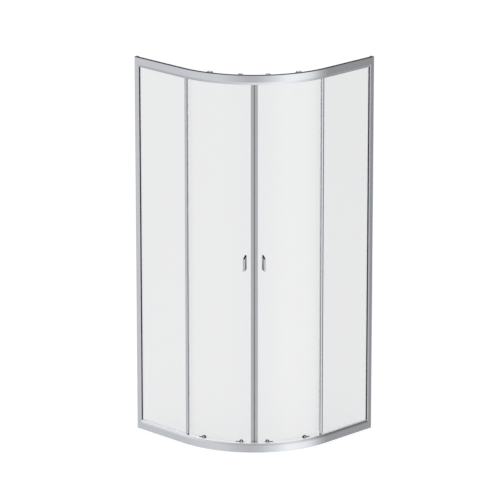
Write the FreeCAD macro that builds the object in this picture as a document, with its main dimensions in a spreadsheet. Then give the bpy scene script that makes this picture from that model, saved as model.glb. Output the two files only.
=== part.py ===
import FreeCAD, Part

import os
import re

import Sketcher

# Quadrant shower enclosure: two fixed panes and two curved doors that slide on bent rails.
# Frame: +Z up, floor at zero, origin under the middle of the square that the enclosure fills.
# The room's walls stand at +X and +Y, and the door arc bows towards -X and -Y.
# The right half is modelled, and the left half is its mirror image in the plane X = Y.

# Driving sizes in millimetres, with the angles in degrees
SIZES = (
    ("side", 800, "length of the enclosure along each wall"),
    ("height", 1850, "floor to the top of the top rail"),
    ("radius", 480, "outer radius of the bent rails"),
    ("profile_wall", 2, "wall of the aluminium profiles"),
    ("rail_height", 45, "height of both rails"),
    ("rail_depth", 18, "depth of the rails without the running ledge"),
    ("shoulder_height", 12, "height of the sloping shoulder beside the glass"),
    ("shoulder_lean", 4, "depth that the shoulder leans in"),
    ("groove_depth", 12, "depth of the grooves that hold the fixed panes"),
    ("ledge_reach", 40, "outer face to the free edge of the running ledge"),
    ("ledge_thickness", 3, "thickness of the running ledge"),
    ("ledge_drop", 18, "back of the rail to the near face of its ledge"),
    ("glass_thickness", 5, "all panes"),
    ("pane_inset", 11, "outer face to the front of a fixed pane"),
    ("pane_bite", 10, "how far a fixed pane reaches into a rail or jamb"),
    ("pane_clearance", 0.4, "play on each face of a pane in its groove"),
    ("jamb_width", 24.5, "width of an upright at the wall"),
    ("jamb_chamfer", 3, "width of its sloping edge"),
    ("jamb_depth", 20, "depth of an upright"),
    ("jamb_rear_setback", 4, "edge of an upright behind the pane, short of its front edge"),
    ("channel_reach", 10, "leg of the wall channel"),
    ("channel_wall", 1.6, "wall of the wall channel"),
    ("channel_clearance", 0.3, "play of the wall channel in the upright"),
    ("anchor_diameter", 6, "wall screw holes in the channel"),
    ("anchor_spacing_outer", 1600, "between the top and bottom wall screw holes"),
    ("anchor_spacing_inner", 600, "between the two middle wall screw holes"),
    ("gasket_width", 1, "black glazing strip beside the upright"),
    ("gasket_setback", 4.5, "outer face to the front of the glazing strip"),
    ("post_width", 12.5, "edge post, along the panel"),
    ("post_depth", 10, "depth of an edge post"),
    ("post_chamfer", 5, "sloping edge of an edge post, along the panel"),
    ("post_chamfer_depth", 2.5, "depth of that edge"),
    ("post_setback", 8.5, "outer face to the front of an edge post"),
    ("post_tilt", 1.3, "front of an edge post, further back towards the wall"),
    ("post_overrun", 20.5, "how far an edge post reaches past the start of the arc"),
    ("post_bite", 6, "how far a fixed pane reaches into an edge post"),
    ("foot_height", 4, "plastic foot under an edge post"),
    ("seal_base", 2, "foot of the post seal"),
    ("seal_base_width", 8, "width of that foot"),
    ("seal_fin", 1.6, "thickness of the post seal's fin"),
    ("seal_margin", 15, "rail to the end of the post seal"),
    ("running_gap", 0.4, "between parts that pass each other"),
    ("cap_length", 12, "corner cap along the wall end of a rail"),
    ("cap_depth", 24, "corner cap down into the rail"),
    ("cap_rise", 2.5, "top corner cap above the rail"),
    ("cap_clearance", 0.2, "play of a corner cap"),
    ("door_inset", 30, "outer face of the rails to the outer face of the door glass"),
    ("door_gap", 3.5, "running ledges to the door's top and bottom"),
    ("door_end_angle", 45, "centre plane to the rear edge of a door"),
    ("door_travel", 27, "opening turn of a door about the arc's axis"),
    ("meeting_gap", 0.6, "between the magnetic seals of the closed doors"),
    ("magnet_width", 2.2, "magnetic seal, along the arc"),
    ("magnet_depth", 8, "magnetic seal, through the door"),
    ("magnet_root", 2.4, "root of the magnetic seal"),
    ("magnet_root_depth", 2.6, "groove for that root"),
    ("magnet_clearance", 0.2, "play of the root in its groove"),
    ("stile_width", 14, "meeting stile, along the arc"),
    ("stile_proud", 3, "meeting stile past each face of the glass"),
    ("stile_web", 5, "meeting stile in front of the glass edge"),
    ("stile_clearance", 0.5, "play of the door glass in its stile and rear seal"),
    ("rear_seal_bite", 8, "rear seal over the glass edge"),
    ("rear_seal_tip", 2, "rear seal past the glass edge"),
    ("rear_seal_wall", 0.8, "leg of the rear seal"),
    ("drip_drop", 3, "drip seal below the glass"),
    ("drip_leg", 11, "drip seal up the inner face of the glass"),
    ("drip_wall", 1.2, "leg of the drip seal"),
    ("handle_angle", 5.24, "centre plane to the middle of a handle"),
    ("handle_level", 936, "floor to the middle of a handle at the glass"),
    ("handle_height", 74, "handle at the glass"),
    ("handle_width", 9.5, "handle at the glass"),
    ("handle_front_height", 64, "handle at its front face"),
    ("handle_front_width", 9.5, "handle at its front face"),
    ("handle_reach", 28, "glass to the front of the handle"),
    ("handle_droop", 6, "middle of the front face below the middle at the glass"),
    ("handle_lean", 6.2, "middle of the front face from the middle at the glass, towards the wall"),
    ("handle_corner", 2.8, "cut corners of the handle"),
    ("handle_bevel", 1.5, "bevelled edge of the handle's front"),
    ("handle_screw_spacing", 44, "between the two handle screws"),
    ("handle_screw_depth", 8, "handle screw into the handle"),
    ("seat_gap", 0.3, "flat pieces off the curved glass"),
    ("wheel_gap", 0.3, "wheel tread over its ledge"),
    ("wheel_chamfer", 1, "edge of a wheel's tread"),
    ("top_wheel_diameter", 24, "top wheels"),
    ("top_wheel_width", 8, "top wheels"),
    ("top_wheel_setback", 20, "outer face of the rail to a top wheel"),
    ("top_pin_diameter", 6, "axle in a top wheel"),
    ("bottom_wheel_diameter", 16, "bottom wheels"),
    ("bottom_wheel_width", 6, "bottom wheels"),
    ("bottom_wheel_setback", 19.5, "outer face of the rail to a bottom wheel"),
    ("bottom_pin_diameter", 4, "axle in a bottom wheel"),
    ("pin_clearance", 0.3, "play of an axle in its wheel, and of a bolt in its ring"),
    ("axle_flange", 0.8, "thickness of an axle's head"),
    ("axle_shoulder", 2, "axle shoulder and head over the pin, in radius"),
    ("carrier_gap", 2, "running ledge to the plate of a top carrier"),
    ("carrier_plate", 3, "plate of a top carrier"),
    ("carrier_width", 24, "plate of a top carrier, along the arc"),
    ("carrier_rise", 5.5, "plate above the wheel centre"),
    ("carrier_boss", 14, "diameter of the boss that meets the glass"),
    ("carrier_corner", 5, "cut corners of that plate"),
    ("shoe_plate", 2.4, "plate of a bottom carrier"),
    ("shoe_tail", 27, "bottom carrier past its bolt, towards the wall"),
    ("shoe_nose", 13, "bottom carrier past its bolt, towards the middle"),
    ("shoe_level", 45, "floor to the top of a bottom carrier's ends"),
    ("shoe_rise", 7, "bottom carrier above its bolt"),
    ("shoe_ear", 5, "half width of a bottom carrier above its bolt"),
    ("shoe_gap", 2, "bottom carrier above the ledge"),
    ("bolt_diameter", 7, "carrier bolts"),
    ("bolt_hole", 8, "holes for the carrier bolts"),
    ("bolt_head", 10, "head of a carrier bolt"),
    ("bolt_head_height", 3, "head of a carrier bolt"),
    ("bolt_cap", 18.5, "dark ring around a carrier bolt"),
    ("bolt_cap_height", 1.6, "dark ring around a carrier bolt"),
    ("bolt_cap_chamfer", 0.5, "edge of that ring"),
    ("nut_diameter", 16, "clamping nut behind a bottom carrier"),
    ("nut_height", 3, "clamping nut behind a bottom carrier"),
    ("top_bolt_drop", 36, "top of the rail to a top carrier's bolt"),
    ("bottom_bolt_level", 45.5, "floor to a bottom carrier's bolt"),
    ("top_inner_angle", 8.3, "centre plane to the inner top carrier"),
    ("top_outer_angle", 27.6, "centre plane to the outer top carrier"),
    ("bottom_inner_angle", 7.9, "centre plane to the inner bottom carrier"),
    ("bottom_outer_angle", 32.2, "centre plane to the outer bottom carrier"),
    ("screw_shank", 3.2, "small frame screws"),
    ("screw_hole", 3.6, "holes for the small frame screws"),
    ("screw_head", 6, "small frame screws"),
    ("screw_head_height", 1.6, "small frame screws"),
    ("screw_seat", 6.6, "flat seats of an edge post's screws"),
    ("post_screw_margin", 25, "rail to an edge post's screw"),
    ("jamb_screw_spacing", 700, "between the screws that hold an upright to its channel"),
    ("handle_screw", 4, "shank of a handle screw"),
    ("handle_screw_hole", 4.6, "holes for the handle screws"),
    ("handle_screw_head", 10, "head of a handle screw"),
    ("handle_screw_head_height", 3, "head of a handle screw"),
    ("stop_length", 12, "rubber stop along its ledge"),
    ("stop_height", 10, "rubber stop above its ledge"),
    ("stop_gap", 1, "open door's wheel to its stop"),
    ("cut_overrun", 5, "how far a cut runs past what it cuts"),
)

# Bearing of the closed doors' meeting line, seen from the arc's axis
CENTRE_BEARING = 225
QUARTER_TURN = 90
HALF_TURN = 180
FULL_TURN = 360
# Recess in the head of a screw or cap, as shares of the head
RECESS_WIDTH_SHARE = 0.55
RECESS_DEPTH_SHARE = 0.4

DOC = FreeCAD.newDocument("shower_enclosure")
SHEET = DOC.addObject("Spreadsheet::Sheet", "sizes")
NAMES = {name for name, _, _ in SIZES}
NODES = {}


def fill_sheet():
    """Writes the driving sizes into the sheet, one named cell each."""
    for row, (name, value, meaning) in enumerate(SIZES, 1):
        SHEET.set(f"A{row}", str(value))
        SHEET.set(f"B{row}", meaning)
        SHEET.setAlias(f"A{row}", name)
    DOC.recompute()


def bound(formula):
    """Puts the sheet's name in front of every size in a formula."""
    return re.sub("[a-z_]+", lambda word: "sizes." * (word.group() in NAMES) + word.group(), formula)


def number(formula):
    """Value of a formula with the sizes as they stand."""
    return float(SHEET.evalExpression(bound(formula)))


def bind(thing, **formulas):
    """Ties properties of a document object to formulas of the sizes."""
    for name, formula in formulas.items():
        thing.setExpression(name, bound(formula))


# Places, as formulas

ARC_AXIS = "(radius - side / 2)"
STRAIGHT = "(side - radius)"
GROOVE_FRONT = "(pane_inset - pane_clearance)"
GROOVE_BACK = "(pane_inset + glass_thickness + pane_clearance)"
FACE_HEIGHT = "(rail_height - shoulder_height)"
LEDGE_FAR = "(ledge_drop + ledge_thickness)"
TOP_LEDGE = "(height - ledge_drop)"
BOTTOM_LEDGE = LEDGE_FAR
GLASS_OUT = "(radius - door_inset)"
GLASS_IN = "(radius - door_inset - glass_thickness)"
GLASS_MIDDLE = "(radius - door_inset - glass_thickness / 2)"
DOOR_BOTTOM = "(ledge_drop + ledge_thickness + door_gap)"
DOOR_TOP = "(height - ledge_drop - ledge_thickness - door_gap)"
POST_NEAR = "(side - radius + post_overrun - post_width)"
POST_FAR = "(side - radius + post_overrun)"
POST_BACK = "(post_setback + post_depth)"
STILE_NEAR = "(meeting_gap / 2 + magnet_width)"
STILE_FAR = "(meeting_gap / 2 + magnet_width + stile_width)"
TOP_AXLE = "(height - ledge_drop + wheel_gap + top_wheel_diameter / 2)"
BOTTOM_AXLE = "(ledge_drop + ledge_thickness + wheel_gap + bottom_wheel_diameter / 2)"
PLATE_FACE = "(radius - ledge_reach - carrier_gap)"
SHOE_BACK = "(radius - door_inset + seat_gap)"
SHOE_FACE = "(radius - door_inset + seat_gap + shoe_plate)"
CLAMP_FACE = "(radius - door_inset - glass_thickness - seat_gap)"
TOP_BOLT = "(height - top_bolt_drop)"


def arc_angle(length, reach):
    """Angle that a length along the arc takes at a distance from its axis."""
    return f"({length}) / {reach} * {HALF_TURN} / pi"


def place(thing, spot, yaw="0", pitch="0"):
    """Puts a piece at a spot, with its own Z axis tipped by pitch and turned by yaw."""
    x, y, z = spot
    formula = f"placement(vector({x}; {y}; {z}); rotation({yaw}; {pitch}; 0))"
    thing.setExpression("Placement", bound(formula))


def on_arc(thing, angle, reach="0", level="0", pitch="0", turn="0"):
    """Puts a piece on the right door's arc: angle from the centre plane, reach from the axis, height."""
    bearing = f"({CENTRE_BEARING} + {angle})"
    x = f"{ARC_AXIS} + ({reach}) * cos({bearing})"
    y = f"{ARC_AXIS} + ({reach}) * sin({bearing})"
    place(thing, (x, y, level), f"{bearing} + {turn}", pitch)


def on_panel(thing):
    """Puts a piece on the right panel: own X is depth from the outer face, own Y distance from the wall."""
    place(thing, ("side / 2", "-side / 2", "0"), str(QUARTER_TURN))


def panel_spot(depth, along, level):
    """World spot of a point on the right panel."""
    return f"side / 2 - ({along})", f"({depth}) - side / 2", level


# Building blocks


def outline(body, plane, loops, offset="0"):
    """Sketch of straight-sided loops, each corner held by two bound distances from the origin."""
    sketch = body.newObject("Sketcher::SketchObject", body.Name + "_outline")
    support = next(item for item in body.Origin.OriginFeatures if item.Role == plane)
    sketch.AttachmentSupport = (support, [""])
    sketch.MapMode = "FlatFace"
    sketch.setExpression("AttachmentOffset.Base.z", bound(offset))
    for corners in loops:
        first = sketch.GeometryCount
        points = [FreeCAD.Vector(number(x), number(y), 0) for x, y in corners]
        for here, there in zip(points, points[1:] + points[:1]):
            sketch.addGeometry(Part.LineSegment(here, there), False)
        for index, corner in enumerate(corners):
            line = first + index
            before = first + (index - 1) % len(corners)
            sketch.addConstraint(Sketcher.Constraint("Coincident", before, 2, line, 1))
            for kind, formula in zip(("DistanceX", "DistanceY"), corner):
                held = sketch.addConstraint(Sketcher.Constraint(kind, -1, 1, line, 1, number(formula)))
                sketch.setExpression(f"Constraints[{held}]", bound(formula))
    return sketch


def new_body(name):
    """Empty body."""
    return DOC.addObject("PartDesign::Body", name)


def pad(body, sketch, length, backwards=False):
    """Extrudes a sketch of a body."""
    feature = body.newObject("PartDesign::Pad", body.Name + "_pad")
    feature.Profile = sketch
    feature.Reversed = backwards
    bind(feature, Length=length)
    return feature


def pocket(body, sketch, length, backwards=False):
    """Cuts a sketch into a body."""
    feature = body.newObject("PartDesign::Pocket", body.Name + "_pocket")
    feature.Profile = sketch
    feature.Reversed = backwards
    bind(feature, Length=length)
    return feature


def revolve(body, sketch, angle):
    """Turns a sketch about its vertical axis, by a formula of degrees."""
    feature = body.newObject("PartDesign::Revolution", body.Name + "_turn")
    feature.Profile = sketch
    feature.ReferenceAxis = (sketch, ["V_Axis"])
    bind(feature, Angle=angle)
    return feature


def prism(name, corners, bottom, top):
    """Body extruded upwards from an outline in plan."""
    body = new_body(name)
    pad(body, outline(body, "XY_Plane", [corners], bottom), f"({top}) - ({bottom})")
    return body


def band(name, corners, start, end):
    """Body of an upright section swept along the right door's arc between two angles."""
    body = new_body(name)
    revolve(body, outline(body, "XZ_Plane", [corners]), f"({end}) - ({start})")
    on_arc(body, f"({start})")
    return body


def turned(name, corners):
    """Body of revolution about its own Z axis, from half of its section."""
    body = new_body(name)
    revolve(body, outline(body, "XZ_Plane", [corners]), str(FULL_TURN))
    return body


def rectangle(left, right, bottom, top):
    """Corners of an upright rectangle."""
    return [(left, bottom), (right, bottom), (right, top), (left, top)]


def rod(name, diameter, length):
    """Plain cylinder, which serves as a boss or as a drill."""
    cylinder = DOC.addObject("Part::Cylinder", name)
    bind(cylinder, Radius=f"{diameter} / 2", Height=length)
    return cylinder


def block(name, depth, along, level):
    """Box on the right panel, from ranges of depth, distance from the wall and height."""
    box = DOC.addObject("Part::Box", name)
    (front, back), (near, far), (bottom, top) = depth, along, level
    bind(box, Length=f"({far}) - ({near})", Width=f"({back}) - ({front})", Height=f"({top}) - ({bottom})")
    place(box, panel_spot(front, far, bottom))
    return box


def compound(name, pieces):
    """Group of separate solids."""
    group = DOC.addObject("Part::Compound", name)
    group.Links = pieces
    return group


def drilled(name, base, drills):
    """A piece with holes in it."""
    result = DOC.addObject("Part::Cut", name)
    result.Base = base
    result.Tool = compound(name + "_drills", drills)
    return result


def fused(name, base, tool):
    """Two pieces grown together."""
    result = DOC.addObject("Part::Fuse", name)
    result.Base = base
    result.Tool = tool
    return result


def mirrored(name, source):
    """Mirror image on the left half."""
    image = DOC.addObject("Part::Mirroring", name)
    image.Source = source
    image.Normal = FreeCAD.Vector(1, -1, 0)
    return image


def screw(name, head, head_height, shank, length):
    """Screw along its own Z axis, with the underside of its recessed head at zero."""
    recess = f"{head} / 2 * {RECESS_WIDTH_SHARE}"
    floor = f"-{head_height} * (1 - {RECESS_DEPTH_SHARE})"
    return turned(name, [
        ("0", floor), (recess, floor), (recess, f"-{head_height}"), (f"{head} / 2", f"-{head_height}"),
        (f"{head} / 2", "0"), (f"{shank} / 2", "0"), (f"{shank} / 2", length), ("0", length)])


def node(label, piece):
    """Registers a sub-part under its own name."""
    piece.Label = label
    NODES[label] = piece


def pair(label, piece):
    """Registers a piece of the right half and its mirror image."""
    node(label + "_right", piece)
    node(label + "_left", mirrored(label + "_image", piece))


def shared(label, pieces):
    """Registers small pieces of the right half and their mirror images as one group."""
    group = compound(label + "_half", pieces)
    node(label, compound(label + "_group", [group, mirrored(label + "_image", group)]))


# Fixed frame


def rail(label, level, cap_face, cap_from_below):
    """Bent rail: straight, quarter turn, straight. level turns a distance from its back into a height."""
    section = [
        ("0", "0"), ("0", FACE_HEIGHT), ("shoulder_lean", "rail_height"), (GROOVE_FRONT, "rail_height"),
        (GROOVE_FRONT, "rail_height - groove_depth"), (GROOVE_BACK, "rail_height - groove_depth"),
        (GROOVE_BACK, "rail_height"), ("rail_depth", "rail_height"), ("rail_depth", LEDGE_FAR),
        ("ledge_reach", LEDGE_FAR), ("ledge_reach", "ledge_drop"), ("rail_depth", "ledge_drop"),
        ("rail_depth", "0")]
    front_chamber = [
        ("profile_wall", "profile_wall"), (f"{GROOVE_FRONT} - profile_wall", "profile_wall"),
        (f"{GROOVE_FRONT} - profile_wall", "rail_height - profile_wall"),
        ("shoulder_lean + profile_wall", "rail_height - profile_wall"), ("profile_wall", FACE_HEIGHT)]
    back_chamber = rectangle(GROOVE_FRONT, "rail_depth - profile_wall",
                             "profile_wall", "rail_height - groove_depth - profile_wall")
    loops = [[(f"radius - ({depth})", level(rise)) for depth, rise in loop]
             for loop in (section, front_chamber, back_chamber)]
    body = new_body(label)
    left_end = outline(body, "XZ_Plane", loops)
    pad(body, left_end, STRAIGHT)
    revolve(body, left_end, str(QUARTER_TURN))
    pad(body, outline(body, "YZ_Plane", loops), STRAIGHT, backwards=True)
    across = "radius - rail_depth + profile_wall", "radius - profile_wall"
    along = f"-{STRAIGHT} - cut_overrun", f"-{STRAIGHT} + cap_length"
    cap_seats = [rectangle(*across, *along), rectangle(*along, *across)]
    pocket(body, outline(body, "XY_Plane", cap_seats, cap_face), "profile_wall", cap_from_below)
    place(body, (ARC_AXIS, ARC_AXIS, "0"), str(HALF_TURN))
    node(label, body)


def rails():
    """Top and bottom rail, the same profile turned over."""
    rail("top_rail", lambda rise: f"height - ({rise})", "height", False)
    rail("bottom_rail", lambda rise: rise, "0", True)


def corner_caps():
    """Dark plastic caps that close the wall ends of both rails and lie over the top one."""
    across = "profile_wall + cap_clearance", "rail_depth - profile_wall - cap_clearance"
    tongue = "profile_wall + cap_clearance", f"{GROOVE_FRONT} - profile_wall - cap_clearance"
    along = "0", "cap_length - cap_clearance"
    caps = {}
    for rail_name, lid, spigot in (
            ("top", ("height - profile_wall", "height"), ("height - cap_depth", "height - profile_wall")),
            ("bottom", ("0", "profile_wall"), ("profile_wall", "cap_depth"))):
        name = f"{rail_name}_corner_cap"
        caps[rail_name] = fused(name, block(name + "_lid", across, along, lid),
                                block(name + "_spigot", tongue, along, spigot))
    cover = block("corner_cover", ("0", "rail_depth"), along, ("height", "height + cap_rise"))
    shared("corner_caps", [fused("covered_corner_cap", caps["top"], cover), caps["bottom"]])


def panel_drill(name, diameter, depth, along, level, length, yaw):
    """Drill into the right panel, along the wall or through it."""
    drill = rod(name, diameter, length)
    place(drill, panel_spot(depth, along, level), yaw, str(QUARTER_TURN))
    return drill


def jamb_screw_levels():
    """Heights of the screws between an upright and its wall channel."""
    return [f"height / 2 + ({step}) * jamb_screw_spacing" for step in (-1, 0, 1)]


def wall_channel():
    """Channel that is screwed to the wall, inside the upright."""
    front = "profile_wall + channel_clearance"
    back = "jamb_depth - profile_wall - channel_clearance"
    channel = prism("wall_channel", [
        (front, "0"), (back, "0"), (back, "channel_reach"), (f"{back} - channel_wall", "channel_reach"),
        (f"{back} - channel_wall", "channel_wall"), (f"{front} + channel_wall", "channel_wall"),
        (f"{front} + channel_wall", "channel_reach"), (front, "channel_reach")],
        "(rail_height + channel_clearance)", "(height - rail_height - channel_clearance)")
    on_panel(channel)
    drills = []
    for spacing in ("anchor_spacing_outer", "anchor_spacing_inner"):
        for side_name, sign in (("low", "-"), ("high", "+")):
            drills.append(panel_drill(
                f"anchor_{spacing}_{side_name}", "anchor_diameter", "jamb_depth / 2",
                "channel_wall + cut_overrun", f"height / 2 {sign} {spacing} / 2",
                "channel_wall + 2 * cut_overrun", "0"))
    for index, level in enumerate(jamb_screw_levels()):
        drills.append(panel_drill(
            f"channel_screw_hole_{index}", "screw_hole", f"{back} - channel_wall - channel_clearance",
            "channel_reach / 2", level, "channel_wall + cut_overrun", str(QUARTER_TURN)))
    pair("wall_channel", drilled("drilled_channel", channel, drills))


def jamb():
    """Upright at the wall, coped over the shoulders of the rails, with a groove for the fixed pane."""
    inner = "jamb_width - groove_depth"
    chamber = "jamb_width - groove_depth - profile_wall"
    rear = "jamb_width - jamb_rear_setback"
    bottom, top = FACE_HEIGHT, f"(height - {FACE_HEIGHT})"
    body = prism("jamb", [
        ("0", "0"), ("0", "jamb_width - jamb_chamfer"), ("shoulder_lean", "jamb_width"),
        (GROOVE_FRONT, "jamb_width"), (GROOVE_FRONT, inner), (GROOVE_BACK, inner),
        (GROOVE_BACK, rear), ("jamb_depth", rear), ("jamb_depth", "0"),
        ("jamb_depth - profile_wall", "0"), ("jamb_depth - profile_wall", chamber),
        ("profile_wall", chamber), ("profile_wall", "0")], bottom, top)
    behind = "jamb_depth + cut_overrun"
    copes = []
    for level in (lambda rise: rise, lambda rise: f"height - ({rise})"):
        copes.append([
            ("0", level(FACE_HEIGHT)), ("shoulder_lean", level("rail_height")),
            (behind, level("rail_height")), (behind, level(f"{FACE_HEIGHT} - cut_overrun")),
            ("0", level(f"{FACE_HEIGHT} - cut_overrun"))])
    pocket(body, outline(body, "XZ_Plane", copes), "jamb_width + cut_overrun")
    on_panel(body)
    drills = [panel_drill(
        f"jamb_screw_hole_{index}", "screw_hole", "jamb_depth - profile_wall - channel_clearance",
        "channel_reach / 2", level, "profile_wall + cut_overrun", str(QUARTER_TURN))
        for index, level in enumerate(jamb_screw_levels())]
    pair("jamb", drilled("drilled_jamb", body, drills))


def jamb_screws():
    """Screws through the inner face of each upright into its wall channel."""
    screws = []
    for index, level in enumerate(jamb_screw_levels()):
        piece = screw(f"jamb_screw_{index}", "screw_head", "screw_head_height", "screw_shank",
                      "(profile_wall + channel_clearance + channel_wall)")
        spot = panel_spot("jamb_depth", "channel_reach / 2", level)
        place(piece, spot, f"-{QUARTER_TURN}", str(QUARTER_TURN))
        screws.append(piece)
    shared("jamb_screws", screws)


def fixed_pane():
    """Flat pane, held by the rails, the upright and the edge post, and its black glazing strip."""
    edge = "rail_height - pane_bite"
    pair("fixed_glass", block(
        "fixed_glass", ("pane_inset", "(pane_inset + glass_thickness)"),
        ("(jamb_width - pane_bite)", f"({POST_NEAR} + post_bite)"), (f"({edge})", f"(height - ({edge}))")))
    pair("glazing_gasket", block(
        "glazing_gasket", ("gasket_setback", "pane_inset"), ("jamb_width", "(jamb_width + gasket_width)"),
        ("rail_height", "(height - rail_height)")))


def edge_post():
    """Slim post between the rails that holds the free edge of the fixed pane, on a plastic foot."""
    slot = f"{POST_NEAR} + post_bite + pane_clearance"
    body = prism("edge_post", [
        ("post_setback + post_tilt / 2", POST_NEAR), (GROOVE_FRONT, POST_NEAR), (GROOVE_FRONT, slot),
        (GROOVE_BACK, slot), (GROOVE_BACK, POST_NEAR), (POST_BACK, POST_NEAR), (POST_BACK, POST_FAR),
        ("post_setback + post_chamfer_depth", POST_FAR),
        ("post_setback - post_tilt / 2", f"{POST_FAR} - post_chamfer")],
        "(rail_height + foot_height)", "(height - rail_height)")
    on_panel(body)
    middle = f"({POST_NEAR} + {POST_FAR} - post_chamfer) / 2"
    levels = {"low": "rail_height + post_screw_margin", "high": "height - rail_height - post_screw_margin"}
    grip = f"({GROOVE_FRONT} - post_setback - running_gap)"
    drills, screws = [], []
    for name, level in levels.items():
        drills.append(panel_drill(
            f"post_screw_hole_{name}", "screw_hole", "post_setback - cut_overrun", middle, level,
            f"cut_overrun + {GROOVE_FRONT} - post_setback", str(QUARTER_TURN)))
        drills.append(panel_drill(
            f"post_screw_seat_{name}", "screw_seat", "post_setback - cut_overrun", middle, level,
            "cut_overrun", str(QUARTER_TURN)))
        piece = screw(f"post_screw_{name}", "screw_head", "screw_head_height", "screw_shank", grip)
        place(piece, panel_spot("post_setback", middle, level), str(QUARTER_TURN), str(QUARTER_TURN))
        screws.append(piece)
    pair("edge_post", drilled("drilled_post", body, drills))
    shared("post_screws", screws)
    foot = block("post_foot", ("post_setback + post_chamfer_depth", POST_BACK), (slot, POST_FAR),
                 ("rail_height", "rail_height + foot_height"))
    shared("post_feet", [foot])


def post_seal():
    """Soft strip on the back of each edge post, with a fin that reaches almost to the door glass."""
    middle = f"({POST_NEAR} + {POST_FAR}) / 2"
    base = f"{POST_BACK} + seal_base"
    tip = "door_inset - running_gap"
    seal = prism("post_seal", [
        (POST_BACK, f"{middle} - seal_base_width / 2"), (base, f"{middle} - seal_base_width / 2"),
        (base, f"{middle} - seal_fin / 2"), (tip, f"{middle} - seal_fin / 2"),
        (tip, f"{middle} + seal_fin / 2"), (base, f"{middle} + seal_fin / 2"),
        (base, f"{middle} + seal_base_width / 2"), (POST_BACK, f"{middle} + seal_base_width / 2")],
        "(rail_height + seal_margin)", "(height - rail_height - seal_margin)")
    on_panel(seal)
    pair("post_seal", seal)


def track_stops():
    """Rubber stops on the running ledges, just past the outer wheels of the open doors."""
    stops = []
    for name, ledge, angle, setback, width, diameter in (
            ("top", TOP_LEDGE, "top_outer_angle",
             "top_wheel_setback", "top_wheel_width", "top_wheel_diameter"),
            ("bottom", BOTTOM_LEDGE, "bottom_outer_angle",
             "bottom_wheel_setback", "bottom_wheel_width", "bottom_wheel_diameter")):
        track = f"(radius - {setback} - {width} / 2)"
        past_arc = f"({angle} + door_travel - {QUARTER_TURN} / 2)"
        far = f"({STRAIGHT} - {track} * sin({past_arc}) - {diameter} / 2 - stop_gap)"
        stops.append(block(f"track_stop_{name}", ("rail_depth", "ledge_reach"),
                           (f"{far} - stop_length", far), (ledge, f"{ledge} + stop_height")))
    shared("track_stops", stops)


# Doors


def carrier_spots():
    """Bolts of the carriers on a door: name, angle from the centre plane and height."""
    return (("top_inner", "top_inner_angle", TOP_BOLT), ("top_outer", "top_outer_angle", TOP_BOLT),
            ("bottom_inner", "bottom_inner_angle", "bottom_bolt_level"),
            ("bottom_outer", "bottom_outer_angle", "bottom_bolt_level"))


def handle_levels():
    """Heights of the two handle screws."""
    return (("low", "handle_level - handle_screw_spacing / 2"),
            ("high", "handle_level + handle_screw_spacing / 2"))


def arc_drill(name, diameter, angle, level):
    """Drill through the door glass, square to it."""
    drill = rod(name, diameter, "glass_thickness + 2 * cut_overrun")
    on_arc(drill, angle, f"{GLASS_IN} - cut_overrun", level, str(QUARTER_TURN))
    return drill


def door_glass():
    """Curved pane of a door, drilled for its carriers and its handle."""
    start = arc_angle(f"{STILE_NEAR} + stile_web + stile_clearance", GLASS_MIDDLE)
    pane = band("door_pane", rectangle(GLASS_IN, GLASS_OUT, DOOR_BOTTOM, DOOR_TOP), start, "door_end_angle")
    drills = [arc_drill(f"glass_hole_{name}", "bolt_hole", angle, level)
              for name, angle, level in carrier_spots()]
    drills += [arc_drill(f"glass_handle_hole_{name}", "handle_screw_hole", "handle_angle", level)
               for name, level in handle_levels()]
    pair("door_glass", drilled("drilled_pane", pane, drills))


def meeting_edge():
    """Meeting stile on the leading edge of a door, with its magnetic seal."""
    inner, outer = f"{GLASS_IN} - stile_proud", f"{GLASS_OUT} + stile_proud"
    slot_inner, slot_outer = f"{GLASS_IN} - stile_clearance", f"{GLASS_OUT} + stile_clearance"
    groove_inner, groove_outer = f"{GLASS_MIDDLE} - magnet_root / 2", f"{GLASS_MIDDLE} + magnet_root / 2"
    groove_floor, slot_floor = f"{STILE_NEAR} + magnet_root_depth", f"{STILE_NEAR} + stile_web"
    stile = prism("door_stile", [
        (inner, STILE_NEAR), (groove_inner, STILE_NEAR), (groove_inner, groove_floor),
        (groove_outer, groove_floor), (groove_outer, STILE_NEAR), (outer, STILE_NEAR), (outer, STILE_FAR),
        (slot_outer, STILE_FAR), (slot_outer, slot_floor), (slot_inner, slot_floor),
        (slot_inner, STILE_FAR), (inner, STILE_FAR)], DOOR_BOTTOM, DOOR_TOP)
    on_arc(stile, "0")
    pair("door_stile", stile)
    face_inner, face_outer = f"{GLASS_MIDDLE} - magnet_depth / 2", f"{GLASS_MIDDLE} + magnet_depth / 2"
    root_inner, root_outer = f"{groove_inner} + magnet_clearance", f"{groove_outer} - magnet_clearance"
    root_end, meeting = f"{groove_floor} - magnet_clearance", "meeting_gap / 2"
    seal = prism("magnetic_seal", [
        (face_inner, meeting), (face_outer, meeting), (face_outer, STILE_NEAR), (root_outer, STILE_NEAR),
        (root_outer, root_end), (root_inner, root_end), (root_inner, STILE_NEAR), (face_inner, STILE_NEAR)],
        DOOR_BOTTOM, DOOR_TOP)
    on_arc(seal, "0")
    pair("magnetic_seal", seal)


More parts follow.
